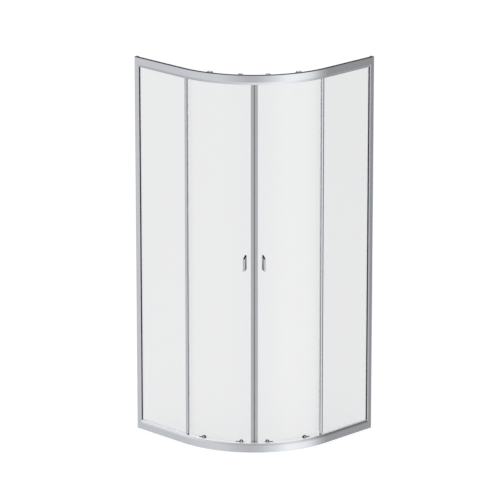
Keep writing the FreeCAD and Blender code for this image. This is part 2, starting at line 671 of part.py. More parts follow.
def door_seals():
    """Clear strips on the rear and the bottom edge of a door."""
    slot_inner, slot_outer = f"{GLASS_IN} - stile_clearance", f"{GLASS_OUT} + stile_clearance"
    inner, outer = f"{slot_inner} - rear_seal_wall", f"{slot_outer} + rear_seal_wall"
    rear = prism("rear_seal", [
        (inner, "-rear_seal_bite"), (slot_inner, "-rear_seal_bite"), (slot_inner, "seat_gap"),
        (slot_outer, "seat_gap"), (slot_outer, "-rear_seal_bite"), (outer, "-rear_seal_bite"),
        (outer, "rear_seal_tip"), (inner, "rear_seal_tip")], DOOR_BOTTOM, DOOR_TOP)
    on_arc(rear, "door_end_angle")
    pair("rear_seal", rear)
    leg_outer = f"{GLASS_IN} - magnet_clearance"
    leg_inner = f"{leg_outer} - drip_wall"
    low = f"{DOOR_BOTTOM} - drip_drop"
    drip = band("drip_seal", [
        (leg_inner, low), (GLASS_OUT, low), (GLASS_OUT, DOOR_BOTTOM), (leg_outer, DOOR_BOTTOM),
        (leg_outer, f"{DOOR_BOTTOM} + drip_leg"), (leg_inner, f"{DOOR_BOTTOM} + drip_leg")],
        arc_angle(f"{STILE_FAR} + running_gap", GLASS_IN),
        f"door_end_angle - {arc_angle('rear_seal_bite + running_gap', GLASS_IN)}")
    pair("drip_seal", drip)


def cut_rectangle(tall, wide, droop, lean):
    """Corners of a cut rectangle: own X points down, own Y to the wall, and droop and lean shift it so."""
    low, high = f"{droop} + ({tall}) / 2", f"{droop} - ({tall}) / 2"
    near, far = f"{lean} - ({wide}) / 2", f"{lean} + ({wide}) / 2"
    near_cut, far_cut = f"{near} + handle_corner", f"{far} - handle_corner"
    return [
        (f"{high} + handle_corner", near), (f"{low} - handle_corner", near), (low, near_cut), (low, far_cut),
        (f"{low} - handle_corner", far), (f"{high} + handle_corner", far), (high, far_cut), (high, near_cut)]


def handle():
    """Slanted pull on the outer face of a door, with two screws from the inside."""
    body = new_body("handle")
    face = "handle_front_height - 2 * handle_bevel", "handle_front_width - 2 * handle_bevel"
    shift = "handle_droop", "handle_lean"
    sections = [outline(body, "XY_Plane", [cut_rectangle(*shape)], offset) for shape, offset in (
        (("handle_height", "handle_width", "0", "0"), "0"),
        (("handle_front_height", "handle_front_width", *shift), "handle_reach - handle_bevel"),
        ((*face, *shift), "handle_reach"))]
    loft = body.newObject("PartDesign::AdditiveLoft", "handle_loft")
    loft.Profile = sections[0]
    loft.Sections = sections[1:]
    loft.Ruled = True
    on_arc(body, "handle_angle", f"{GLASS_OUT} + seat_gap", "handle_level", str(QUARTER_TURN))
    drills, screws = [], []
    for name, level in handle_levels():
        drill = rod(f"handle_screw_hole_{name}", "handle_screw_hole", "handle_screw_depth + cut_overrun")
        on_arc(drill, "handle_angle", f"{GLASS_OUT} + seat_gap + running_gap - cut_overrun", level,
               str(QUARTER_TURN))
        drills.append(drill)
        piece = screw(
            f"handle_screw_{name}", "handle_screw_head", "handle_screw_head_height", "handle_screw",
            "(glass_thickness + 2 * seat_gap + handle_screw_depth)")
        on_arc(piece, "handle_angle", CLAMP_FACE, level, str(QUARTER_TURN))
        screws.append(piece)
    pair("handle", drilled("drilled_handle", body, drills))
    pair("handle_screws", compound("handle_screw_pair", screws))


def carrier_plate(name, corners, angle, face, thickness):
    """Flat plate square to a radius, from an outline of places along the arc and heights."""
    body = new_body(name)
    pad(body, outline(body, "YZ_Plane", [corners], f"{face} - {thickness}"), thickness)
    on_arc(body, angle)
    return body


def ring(name, diameter, width, pin, edge):
    """Ring around a pin, about its own Z axis, with its inner face at zero and bevelled rims."""
    bore, tread = f"{pin} / 2 + pin_clearance", f"{diameter} / 2"
    return turned(name, [
        (bore, "0"), (f"{tread} - {edge}", "0"), (tread, edge), (tread, f"{width} - {edge}"),
        (f"{tread} - {edge}", width), (bore, width)])


def axle(name, pin, width, spacer):
    """Axle that stands on a carrier: spacer, pin through the wheel, and head."""
    shoulder = f"{pin} / 2 + axle_shoulder"
    seat = f"{spacer} - running_gap"
    head = f"{spacer} + {width} + running_gap"
    return turned(name, [
        ("0", "0"), (shoulder, "0"), (shoulder, seat), (f"{pin} / 2", seat), (f"{pin} / 2", head),
        (shoulder, head), (shoulder, f"{head} + axle_flange"), ("0", f"{head} + axle_flange")])


def wheel_on(name, angle, base, level, setback, width, diameter, pin):
    """Wheel on the right door and the axle that holds it on its carrier. Returns the axle."""
    inner = f"(radius - {setback} - {width})"
    wheel = ring(name, diameter, width, pin, "wheel_chamfer")
    on_arc(wheel, angle, inner, level, str(QUARTER_TURN))
    pair(name, wheel)
    spindle = axle(name + "_axle", pin, width, f"({inner} - {base})")
    on_arc(spindle, angle, base, level, str(QUARTER_TURN))
    return spindle


def top_carrier(name, angle):
    """Carrier that hangs a door on the top ledge by a wheel. Returns its axle."""
    half, bottom, top = "carrier_width / 2", f"{TOP_BOLT} - carrier_boss / 2", f"{TOP_AXLE} + carrier_rise"
    plate = carrier_plate(f"{name}_plate", [
        (f"-{half}", bottom), (half, bottom), (half, f"{top} - carrier_corner"),
        (f"{half} - carrier_corner", top), (f"carrier_corner - {half}", top),
        (f"-{half}", f"{top} - carrier_corner")], angle, PLATE_FACE, "carrier_plate")
    boss = rod(f"{name}_boss", "carrier_boss", f"{CLAMP_FACE} - {PLATE_FACE} + carrier_plate / 2")
    on_arc(boss, angle, f"{PLATE_FACE} - carrier_plate / 2", TOP_BOLT, str(QUARTER_TURN))
    pair(name, fused(f"{name}_body", plate, boss))
    return wheel_on(f"{name}_wheel", angle, PLATE_FACE, TOP_AXLE, "top_wheel_setback",
                    "top_wheel_width", "top_wheel_diameter", "top_pin_diameter")


def bottom_carrier(name, angle):
    """Low carrier that guides a door on the bottom ledge by a wheel. Returns its axle."""
    low, top = f"{BOTTOM_LEDGE} + shoe_gap", "bottom_bolt_level + shoe_rise"
    plate = carrier_plate(f"{name}_plate", [
        ("-shoe_nose", low), ("shoe_tail", low), ("shoe_tail", "shoe_level"), ("bolt_cap / 2", "shoe_level"),
        ("shoe_ear", top), ("-shoe_ear", top), ("-bolt_cap / 2", "shoe_level"), ("-shoe_nose", "shoe_level")],
        angle, SHOE_FACE, "shoe_plate")
    drill = rod(f"{name}_hole", "bolt_hole", "shoe_plate + 2 * cut_overrun")
    on_arc(drill, angle, f"{SHOE_BACK} - cut_overrun", "bottom_bolt_level", str(QUARTER_TURN))
    pair(name, drilled(f"{name}_body", plate, [drill]))
    return wheel_on(f"{name}_wheel", angle, SHOE_FACE, BOTTOM_AXLE, "bottom_wheel_setback",
                    "bottom_wheel_width", "bottom_wheel_diameter", "bottom_pin_diameter")


def carriers():
    """All carriers of a door with their wheels, axles, bolts and the dark rings around the bolts."""
    axles, bolts, caps = [], [], []
    for name, angle, level in carrier_spots():
        on_top = name.startswith("top")
        make = top_carrier if on_top else bottom_carrier
        axles.append(make(f"{name}_carrier", angle))
        seat = SHOE_BACK if on_top else SHOE_FACE
        bolt = screw(f"{name}_bolt", "bolt_head", "bolt_head_height", "bolt_diameter",
                     f"({seat} - {CLAMP_FACE})")
        on_arc(bolt, angle, seat, level, str(QUARTER_TURN), str(HALF_TURN))
        bolts.append(bolt)
        cap = ring(f"{name}_cap", "bolt_cap", "bolt_cap_height", "bolt_head", "bolt_cap_chamfer")
        on_arc(cap, angle, seat, level, str(QUARTER_TURN))
        caps.append(cap)
        if not on_top:
            nut = rod(f"{name}_nut", "nut_diameter", "nut_height")
            on_arc(nut, angle, f"{CLAMP_FACE} - nut_height", level, str(QUARTER_TURN))
            bolts.append(nut)
    pair("wheel_axles", compound("wheel_axle_set", axles))
    pair("carrier_bolts", compound("carrier_bolt_set", bolts))
    pair("carrier_caps", compound("carrier_cap_set", caps))


def check_document():
    """Stops if a feature failed, a cut missed or a sub-part is not a valid solid."""
    for thing in DOC.Objects:
        if {"Invalid", "Error"} & set(thing.State):
            raise RuntimeError(f"{thing.Label} failed: {thing.State}")
        if thing.TypeId == "PartDesign::Pocket" and thing.Shape.Volume >= thing.BaseFeature.Shape.Volume:
            raise RuntimeError(f"{thing.Label} cuts nothing")
        if thing.TypeId == "Part::Cut" and thing.Shape.Volume >= thing.Base.Shape.Volume:
            raise RuntimeError(f"{thing.Label} cuts nothing")
    for label, piece in NODES.items():
        if piece.Shape.isNull() or not piece.Shape.isValid() or not piece.Shape.Solids:
            raise RuntimeError(f"{label} has no valid solid")


def write_nodes():
    """Writes one file for each sub-part."""
    os.makedirs("parts", exist_ok=True)
    for label, piece in NODES.items():
        piece.Shape.exportStep(f"parts/{label}.step")


fill_sheet()
for build in (rails, corner_caps, wall_channel, jamb, jamb_screws, fixed_pane, edge_post, post_seal,
              track_stops, door_glass, meeting_edge, door_seals, handle, carriers):
    build()
DOC.recompute()
check_document()
write_nodes()
print(len(NODES), "sub-parts written")
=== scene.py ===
import math

import bmesh
import bpy
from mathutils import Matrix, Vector


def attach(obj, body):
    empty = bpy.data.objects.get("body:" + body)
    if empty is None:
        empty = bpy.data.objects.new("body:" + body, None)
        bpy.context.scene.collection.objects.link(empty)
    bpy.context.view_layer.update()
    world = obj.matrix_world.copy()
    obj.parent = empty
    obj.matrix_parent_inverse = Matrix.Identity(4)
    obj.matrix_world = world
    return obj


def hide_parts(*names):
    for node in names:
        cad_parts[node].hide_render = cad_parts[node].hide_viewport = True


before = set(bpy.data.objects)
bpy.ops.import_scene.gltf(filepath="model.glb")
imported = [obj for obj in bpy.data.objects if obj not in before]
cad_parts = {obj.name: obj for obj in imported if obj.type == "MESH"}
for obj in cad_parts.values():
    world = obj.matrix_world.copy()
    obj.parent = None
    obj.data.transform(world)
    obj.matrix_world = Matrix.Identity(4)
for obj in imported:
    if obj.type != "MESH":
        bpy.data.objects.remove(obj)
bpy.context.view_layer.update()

# Camera of the photograph: place and reach of view in metres, tilt in degrees, lens and sensor in
# millimetres, and sideways shift as a share of the picture
CAMERA_SPOT = (-13.369, -13.369, 6.52)
CAMERA_CLIP = 200
CAMERA_TILT = 16.56
CAMERA_LENS = 296.6
CAMERA_SENSOR = 36
CAMERA_SHIFT = -0.00864

# Directions on the floor, to the viewer's right and towards the viewer, and the point that the lamps face
RIGHT = Vector((1, -1, 0)).normalized()
NEAR = Vector((-1, -1, 0)).normalized()
MIDDLE = Vector((0, 0, 0.92))

# Axis of the doors' arc in plan, in metres
ARC_AXIS = (0.08, 0.08)

# Level of the surroundings on matt surfaces
WORLD_LEVEL = 0.7

# Floor: radius and depth below the part in metres, corners, colour, and glow where it shows as background
FLOOR_RADIUS = 60
FLOOR_SINK = 0.0005
FLOOR_STEPS = 64
FLOOR_ALBEDO = 0.35
FLOOR_GLOW = 0.78

# Lamps: name, steps to the right, towards the viewer and up in metres, width and height, and power in watts
LAMPS = (
    ("key", 2.6, 3.0, 2.0, (1.0, 3.0), 25),
    ("fill", -3.5, 1.2, 2.0, (2.0, 3.0), 15),
)

# Studio panels that only reflections show, as rows by elevation in degrees
# Each row gives bearings in degrees from the viewer, to the right, and levels up to the highest one
PANELS = (
    (-53, ((-180, 0.85), (-150, 0.5), (-90, 0.7), (-40, 0.96), (0, 1.25), (41, 1.5), (66, 1.25), (90, 0.85),
           (150, 0.5), (180, 0.85))),
    (-16.5, ((-180, 0.95), (-164, 0.7), (-148, 0.18), (-130, 0.7), (-110, 0.8), (-90, 0.92), (-64, 1.02),
             (-39, 1.04), (-16, 0.81), (-4, 0.68), (6, 0.77), (18, 1.04), (41, 1.6), (66, 1.45), (82, 0.77),
             (92, 0.43), (102, 0.18), (114, 0.18), (128, 0.55), (148, 0.22), (164, 0.7), (180, 0.95))),
    (20, ((-180, 1.8), (-150, 1.5), (-110, 1.3), (-90, 1.42), (-64, 1.1), (-39, 0.9), (-16, 0.75),
          (0, 0.65), (18, 0.85), (41, 1.25), (66, 0.75), (80, 0.2), (95, 0.03), (125, 0.3), (150, 1.5),
          (180, 1.8))),
    (45, ((-180, 0.8), (-90, 1.0), (0, 0.8), (90, 0.4), (180, 0.8))),
    (90, ((-180, 0.7), (180, 0.7))),
)
HIGHEST_LEVEL = 2

# Metres in a millimetre; sizes of pieces are in millimetres and degrees, and those of CAD pieces are the same
# as in the CAD model
MM = 0.001

# Enclosure: bearing of the plane between the doors, outer radius, half of a side, height, height of a rail
CENTRE_BEARING = 225
RADIUS = 480
HALF_SIDE = 400
HEIGHT = 1850
RAIL_HEIGHT = 45

# Distances from the arc's axis: outer face of the door glass, inner face of the clamps, outer face of shoes
GLASS_OUT = 450.3
CLAMP_FACE = 444.7
SHOE_FACE = 452.7

# Handles: angle from the centre plane, height of the middle, height at the glass and at the front, width,
# reach from the glass, how far the front droops and leans along the arc, and the round of its edges
HANDLE_ANGLE = 5.24
HANDLE_LEVEL = 936
HANDLE_HEIGHT = 74
HANDLE_FRONT_HEIGHT = 64
HANDLE_WIDTH = 9.5
HANDLE_REACH = 28
HANDLE_DROOP = 6
HANDLE_LEAN = 6.2
HANDLE_ROUND = 1.8

# Groove fillers: depths from the rail's face, lowest height, crown over the rail, cut edges, half of the turn
FILLER_DEPTHS = (10.65, 16.35)
FILLER_FLOOR = 34
FILLER_CROWN = 0.3
FILLER_EDGE = 0.5
FILLER_HALF_TURN = 42

# Glazing beads: ends along a side, and the section as depths from the rail's face and heights
BEAD_ENDS = (66.2, 374.3)
BEAD_SECTION = ((9, 45.02), (10.95, 45.02), (10.95, 46.4), (10.5, 46.7), (9.5, 46.3), (9, 45.8))

# Carrier bolts: radii of shank and head, rise of the head, cut edge, and heights of the bolts
BOLT_SHANK = 3.5
BOLT_HEAD = 5
BOLT_RISE = 3
BOLT_EDGE = 0.3
TOP_BOLT = 1814
BOTTOM_BOLT = 45.5

# Nuts: radius, height, and the round of the outer edge with the point that it passes through
NUT = 8
NUT_HEIGHT = 3
NUT_ROUND = 1.2
NUT_ROUND_POINT = (0.3, 0.5)

# Wheels: inner face from the arc's axis, width, radius, bore and height of the axle
TOP_WHEEL = {"inner": 452, "width": 8, "radius": 12, "bore": 3.3, "level": 1844.3}
BOTTOM_WHEEL = {"inner": 454.5, "width": 6, "radius": 8, "bore": 2.3, "level": 29.3}

# Wheel mouldings: how far hub and web are sunk, as shares of the width, walls of hub and rim, slope between
# wall and web, and the round of the tread with the point that it passes through
HUB_SINK_SHARE = 0.08
WEB_SINK_SHARE = 0.22
HUB_WALL = 1.5
RIM_WALL = 2.1
WALL_SLOPE = 0.3
TREAD_ROUND = 0.8
TREAD_ROUND_POINT = 0.25

# Carriers: name, angle from the centre plane, wheel, height of the bolt and where its head sits
CARRIERS = (
    ("top_inner_carrier", 8.3, TOP_WHEEL, TOP_BOLT, GLASS_OUT),
    ("top_outer_carrier", 27.6, TOP_WHEEL, TOP_BOLT, GLASS_OUT),
    ("bottom_inner_carrier", 7.9, BOTTOM_WHEEL, BOTTOM_BOLT, SHOE_FACE),
    ("bottom_outer_carrier", 32.2, BOTTOM_WHEEL, BOTTOM_BOLT, SHOE_FACE),
)

# Fineness of round shapes, and the angle in degrees from which an edge stays sharp
ROUND_STEPS = 10
RING_STEPS = 32
ARC_STEPS = 60
SHARP_EDGE = 40

# Noise patterns of the finishes and of the painted bands of light and shade: scale per metre, detail and
# roughness
DIE_LINES = (900, 4, 0.6)
CLOUDS = (5, 3, 0.5)
PAINTED_BAND_CLOUDS = (30, 4, 0.5)
GLASS_WAVES = (6, 1, 0.5)
GLASS_HAZE = (40, 4, 0.5)
MOTTLE = (60, 3, 0.5)
GRAIN_DETAIL = 2
WIPE_DETAIL = 4

# Relief of the finishes: strength and depth in metres, and the round that softens the edges of profiles
LINE_RELIEF = (0.08, 0.0004)
WAVE_RELIEF = (0.02, 0.002)
WIPE_RELIEF = (0.03, 0.0005)
GRAIN_STRENGTH = 0.25
EDGE_ROUND = 0.0008
EDGE_SAMPLES = 4

# Scales by axis that draw out the die lines of uprights and the wipe marks
UPRIGHT_SCALES = (1, 1, 0.004)
WIPE_SCALES = (1, 1, 0.2)

# Heights of a normal from which a face starts to look up and at which it does: on the bottom rail's lip for
# its painted highlight, and on handles for their painted dark reflection
LIP_FACES = (0.5, 0.9)
DIM_FACES = (0.15, 0.5)

# Silver anodised aluminium of the frame and of the doors' stiles, two colours each, and its roughness; the
# stiles' colours are a copy about 7 % darker, which paints shade on them
SILVER = ((0.545, 0.562, 0.59), (0.585, 0.603, 0.632))
SHADED_STILE_SILVER = ((0.505, 0.522, 0.548), (0.543, 0.56, 0.587))
SILVER_ROUGHNESS = (0.2, 0.3)

# Bands of painted light and shade at ends of profiles: heights in metres where it starts and where it is
# full, two colours, share of metal, roughness, and whether the share of metal holds only on faces that look
# up
# Painted dark reflection on the upper face of the top rail: near black, matt and not metal
TOP_FACE_PAINTED_REFLECTION = {"heights": (1.849, 1.8498), "colours": ((0.03, 0.031, 0.033), (0.05, 0.051, 0.053)),
            "metal": 0, "roughness": 0.85, "only_up": False}
# Painted highlight on the lip of the bottom rail: pale, and half metal on faces that look up
LIP_PAINTED_HIGHLIGHT = {"heights": (0.043, 0.0445), "colours": ((0.9, 0.905, 0.91), (0.96, 0.963, 0.965)),
            "metal": 0.5, "roughness": 0.3, "only_up": True}
# Painted light at the foot of the stiles: paler and less metallic, which hides the bottom rail's dark
# reflection
STILE_FOOT_PAINTED_LIGHT = {"heights": (0.062, 0.05), "colours": ((0.6, 0.615, 0.64), (0.66, 0.675, 0.7)),
             "metal": 0.15, "roughness": 0.4, "only_up": False}

# Glass: colour, refraction, range of roughness, and the tint of its shadow
GLASS_COLOUR = (0.803, 0.806, 0.813, 1)
GLASS_IOR = 1.35
GLASS_ROUGHNESS = (0.0, 0.03)
GLASS_SHADOW = (0.94, 0.942, 0.945, 1)


# Node helpers


def new_material(name):
    """Empty node material. Returns it with its node tree and its output."""
    material = bpy.data.materials.new(name)
    material.use_nodes = True
    tree = material.node_tree
    tree.nodes.clear()
    output = tree.nodes.new("ShaderNodeOutputMaterial")
    return material, tree, output


def add(tree, kind, settings=None, **inputs):
    """Node with its properties and input values set. An input that is a socket gets linked."""
    node = tree.nodes.new("ShaderNode" + kind)
    for name, value in (settings or {}).items():
        setattr(node, name, value)
    for name, value in inputs.items():
        socket = node.inputs[int(name[1:])] if name[1:].isdigit() else node.inputs[name.replace("_", " ")]
        if isinstance(value, bpy.types.NodeSocket):
            tree.links.new(value, socket)
        else:
            socket.default_value = value
    return node


def calculated(tree, operation, first, second=0.0):
    """Result of a calculation with one or two numbers."""
    return add(tree, "Math", {"operation": operation}, _0=first, _1=second).outputs[0]


def vectors(tree, operation, first, second):
    """Node of a calculation with two vectors."""
    return add(tree, "VectorMath", {"operation": operation}, _0=first, _1=second)


def height_of(tree, vector):
    """Third coordinate of a vector."""
    return add(tree, "SeparateXYZ", None, Vector=vector).outputs[2]


def spread(tree, value, low, high):
    """Maps a 0 to 1 value onto a range."""
    return add(tree, "MapRange", None, Value=value, To_Min=low, To_Max=high).outputs[0]


def between(tree, value, start, full):
    """0 before the start, 1 past the full value and a smooth step between them, up or down."""
    return add(tree, "MapRange", {"interpolation_type": "SMOOTHSTEP"}, Value=value, From_Min=start,
               From_Max=full).outputs[0]


def blended(tree, share, first, second):
    """Number between two numbers."""
    return add(tree, "Mix", {"data_type": "FLOAT"}, _0=share, _2=first, _3=second).outputs[0]


def mixed(tree, share, first, second):
    """Colour between two colours with alpha."""
    return add(tree, "Mix", {"data_type": "RGBA"}, _0=share, _6=first, _7=second).outputs[2]


def tint(tree, share, dark, light):
    """Colour between two plain colours."""
    return mixed(tree, share, (*dark, 1), (*light, 1))


def place_in_metres(tree):
    """Position on the part, which is the same for every piece of the frame."""
    return add(tree, "TexCoord").outputs["Object"]


def noise(tree, vector, scale, detail, roughness=0.5):
    """Noise value."""
    return add(tree, "TexNoise", None, Vector=vector, Scale=scale, Detail=detail,
               Roughness=roughness).outputs[0]


def stretched(tree, vector, scales):
    """Coordinates scaled by axis."""
    return vectors(tree, "MULTIPLY", vector, scales).outputs[0]


def bump(tree, height, strength, depth, **more):
    """Normal from a height."""
    return add(tree, "Bump", None, Height=height, Strength=strength, Distance=depth, **more).outputs[0]


def upward(tree, start, full):
    """1 on faces that look up, by the height of their normal."""
    return between(tree, height_of(tree, add(tree, "NewGeometry").outputs["Normal"]), start, full)


# Materials


def rail_lines(tree):
    """Coordinates across a bent rail, so that die lines follow its length: reach from the axis, height.

    The reach is kept along the straight ends as well, so that it tells the depth there.
    """
    flat = stretched(tree, place_in_metres(tree), (1, 1, 0))
    shifted = vectors(tree, "SUBTRACT", flat, (*ARC_AXIS, 0)).outputs[0]
    outside = vectors(tree, "MINIMUM", shifted, (0, 0, 0)).outputs[0]
    reach = add(tree, "VectorMath", {"operation": "LENGTH"}, _0=outside).outputs["Value"]
    return add(tree, "CombineXYZ", None, X=reach, Z=height_of(tree, place_in_metres(tree))).outputs[0]


def upright_lines(tree):
    """Coordinates across an upright profile, so that die lines run along it."""
    return stretched(tree, place_in_metres(tree), UPRIGHT_SCALES)


def aluminium(name, lines, painted_band=None, silver=SILVER):
    """Silver anodised aluminium with fine die lines along the profile and faint cloudiness.

    An end of the profile can get light or shade painted into its colour, share of metal and roughness.
    """
    material, tree, output = new_material(name)
    spot = place_in_metres(tree)
    fine = noise(tree, lines(tree), *DIE_LINES)
    colour = tint(tree, noise(tree, spot, *CLOUDS), *silver)
    edges = add(tree, "Bevel", {"samples": EDGE_SAMPLES}, Radius=EDGE_ROUND).outputs[0]
    relief = bump(tree, fine, *LINE_RELIEF, Normal=edges)
    rough = spread(tree, fine, *SILVER_ROUGHNESS)
    shader = add(tree, "BsdfPrincipled", None, Metallic=1.0, Normal=relief)
    # Painted light or shade at one end of the profile, in its colour, share of metal and roughness
    if painted_band:
        share = between(tree, height_of(tree, spot), *painted_band["heights"])
        clouds = noise(tree, spot, *PAINTED_BAND_CLOUDS)
        colour = mixed(tree, share, colour, tint(tree, clouds, *painted_band["colours"]))
        rough = blended(tree, share, rough, painted_band["roughness"])
        band_metal_share = calculated(tree, "MULTIPLY", share, upward(tree, *LIP_FACES)) if painted_band["only_up"] else share
        tree.links.new(spread(tree, band_metal_share, 1, painted_band["metal"]), shader.inputs["Metallic"])
    tree.links.new(colour, shader.inputs["Base Color"])
    tree.links.new(rough, shader.inputs["Roughness"])
    tree.links.new(shader.outputs[0], output.inputs[0])
    return material


def glass():
    """Clear toughened glass with the faint waviness of tempering and a trace of haze."""
    material, tree, output = new_material("glass")
    spot = place_in_metres(tree)
    haze = noise(tree, spot, *GLASS_HAZE)
    pane = add(tree, "BsdfPrincipled", None, Base_Color=GLASS_COLOUR, IOR=GLASS_IOR, Transmission_Weight=1.0,
               Roughness=spread(tree, haze, *GLASS_ROUGHNESS),
               Normal=bump(tree, noise(tree, spot, *GLASS_WAVES), *WAVE_RELIEF))
    shade = add(tree, "BsdfTransparent", None, Color=GLASS_SHADOW)
    path = add(tree, "LightPath")
    mix = add(tree, "MixShader", None, _0=path.outputs["Is Shadow Ray"], _1=pane.outputs[0],
              _2=shade.outputs[0])
    tree.links.new(mix.outputs[0], output.inputs[0])
    return material


def grained(name, colours, roughness, grain, depth, **more):
    """Moulded plastic or rubber: mottled colour, uneven gloss and a fine grain."""
    material, tree, output = new_material(name)
    spot = place_in_metres(tree)
    mottle = noise(tree, spot, *MOTTLE)
    fine = noise(tree, spot, grain, GRAIN_DETAIL)
    shader = add(tree, "BsdfPrincipled", None, Base_Color=tint(tree, mottle, *colours),
                 Roughness=spread(tree, mottle, *roughness),
                 Normal=bump(tree, fine, GRAIN_STRENGTH, depth), **more)
    tree.links.new(shader.outputs[0], output.inputs[0])
    return material


def bright_metal(name, colours, roughness, wiping, painted_top_reflection=None, metal=1.0):
    """Plated or turned metal with faint wipe marks in its gloss, with a painted dark reflection on upward
    faces where asked.
    """
    material, tree, output = new_material(name)
    wipe = noise(tree, stretched(tree, place_in_metres(tree), WIPE_SCALES), wiping, WIPE_DETAIL)
    colour = tint(tree, wipe, *colours)
    if painted_top_reflection:
        # Painted dark reflection of a dark ceiling on faces that look up
        colour = mixed(tree, upward(tree, *DIM_FACES), colour, tint(tree, wipe, *painted_top_reflection))
    shader = add(tree, "BsdfPrincipled", None, Base_Color=colour, Metallic=metal,
                 Roughness=spread(tree, wipe, *roughness), Normal=bump(tree, wipe, *WIPE_RELIEF))
    tree.links.new(shader.outputs[0], output.inputs[0])
    return material


MATERIALS = {
    # The top rail gets a painted dark reflection on its upper face
    "top_rail_aluminium": aluminium("top_rail_aluminium", rail_lines, TOP_FACE_PAINTED_REFLECTION),
    # The bottom rail gets a painted highlight on its lip
    "bottom_rail_aluminium": aluminium("bottom_rail_aluminium", rail_lines, LIP_PAINTED_HIGHLIGHT),
    "upright_aluminium": aluminium("upright_aluminium", upright_lines),
    # The stiles get painted light at their foot, and a darker copy of the silver that paints shade on them
    "stile_aluminium": aluminium("stile_aluminium", upright_lines, STILE_FOOT_PAINTED_LIGHT, SHADED_STILE_SILVER),
    "glass": glass(),
    "black_rubber": grained(
        "black_rubber", colours=((0.018, 0.018, 0.02), (0.04, 0.04, 0.043)), roughness=(0.55, 0.75),
        grain=2500, depth=0.0002),
    "clear_seal": grained(
        "clear_seal", colours=((0.9, 0.91, 0.915), (0.95, 0.955, 0.955)), roughness=(0.05, 0.15),
        grain=1200, depth=0.0001, Transmission_Weight=1.0, IOR=1.1),
    "milky_seal": grained(
        "milky_seal", colours=((0.85, 0.855, 0.86), (0.92, 0.922, 0.925)), roughness=(0.4, 0.55),
        grain=1200, depth=0.0001),
    "dark_plastic": grained(
        "dark_plastic", colours=((0.02, 0.02, 0.022), (0.045, 0.045, 0.05)), roughness=(0.4, 0.55),
        grain=1800, depth=0.0002),
    "pale_plastic": grained(
        "pale_plastic", colours=((0.56, 0.57, 0.59), (0.66, 0.67, 0.69)), roughness=(0.35, 0.5),
        grain=1500, depth=0.0002),
    "pale_nylon": grained(
        "pale_nylon", colours=((0.86, 0.865, 0.87), (0.93, 0.93, 0.935)), roughness=(0.35, 0.5),
        grain=1500, depth=0.0002),
    "dark_nylon": grained(
        "dark_nylon", colours=((0.03, 0.03, 0.032), (0.06, 0.06, 0.064)), roughness=(0.35, 0.5),
        grain=1500, depth=0.0002),
    # Chrome of the handles, with a painted dark reflection on faces that look up
    "chrome": bright_metal(
        "chrome", colours=((0.55, 0.56, 0.58), (0.63, 0.64, 0.66)), roughness=(0.08, 0.16), wiping=80,
        painted_top_reflection=((0.03, 0.031, 0.033), (0.06, 0.061, 0.064))),
    "satin_chrome": bright_metal(
        "satin_chrome", colours=((0.88, 0.885, 0.89), (0.95, 0.953, 0.955)), roughness=(0.3, 0.42), wiping=80,
        metal=0.3),
    "steel": bright_metal(
        "steel", colours=((0.5, 0.51, 0.53), (0.6, 0.61, 0.63)), roughness=(0.25, 0.38), wiping=160),
}

# Material of each CAD node, by the start of its name; the first that fits is used
FINISHES = (
    ("top_rail", "top_rail_aluminium"), ("bottom_rail", "bottom_rail_aluminium"), ("jamb_screws", "steel"),
    ("jamb", "upright_aluminium"), ("wall_channel", "upright_aluminium"), ("edge_post", "upright_aluminium"),
    ("door_stile", "stile_aluminium"), ("fixed_glass", "glass"), ("door_glass", "glass"),
    ("glazing_gasket", "black_rubber"), ("magnetic_seal", "black_rubber"), ("track_stops", "black_rubber"),
    ("post_seal", "clear_seal"), ("rear_seal", "clear_seal"), ("drip_seal", "clear_seal"),
    ("corner_caps", "dark_plastic"), ("post_feet", "dark_plastic"), ("post_screws", "steel"),
    ("handle_screws", "steel"), ("handle", "chrome"), ("carrier_bolts", "satin_chrome"),
    ("wheel_axles", "steel"), ("carrier_caps", "dark_plastic"),
    ("top_inner_carrier_wheel", "pale_nylon"), ("top_outer_carrier_wheel", "pale_nylon"),
    ("bottom_inner_carrier_wheel", "dark_nylon"), ("bottom_outer_carrier_wheel", "dark_nylon"),
    ("top_inner_carrier", "pale_plastic"), ("top_outer_carrier", "pale_plastic"),
    ("bottom_inner_carrier", "dark_plastic"), ("bottom_outer_carrier", "dark_plastic"),
)


def dress_frame():
    """Gives every CAD node its material."""
    for name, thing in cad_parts.items():
        finish = next(material for start, material in FINISHES if name.startswith(start))
        for slot in thing.material_slots:
            slot.link = "OBJECT"
            slot.material = MATERIALS[finish]


# Fine pieces


def door_spot(angle, reach, along, level, left):
    """Place on a door in metres, from the angle off the centre plane, reach, step along it and height."""
    bearing = math.radians(CENTRE_BEARING + angle)
    x = ARC_AXIS[0] + (reach * math.cos(bearing) - along * math.sin(bearing)) * MM
    y = ARC_AXIS[1] + (reach * math.sin(bearing) + along * math.cos(bearing)) * MM
    return (y, x, level * MM) if left else (x, y, level * MM)


def skin(loops, closed=False):
    """Points and faces over a row of loops, which closes on itself or gets flat ends."""
    count, rows = len(loops[0]), len(loops)
    faces = []
    for row in range(rows if closed else rows - 1):
        low, high = row * count, (row + 1) % rows * count
        faces += [(low + i, low + (i + 1) % count, high + (i + 1) % count, high + i) for i in range(count)]
    if not closed:
        faces += [tuple(range(count)), tuple(range((rows - 1) * count, rows * count))]
    return [point for loop in loops for point in loop], faces


def joined(skins):
    """Several skins as one."""
    points, faces = [], []
    for more_points, more_faces in skins:
        faces += [tuple(len(points) + corner for corner in face) for face in more_faces]
        points += more_points
    return points, faces


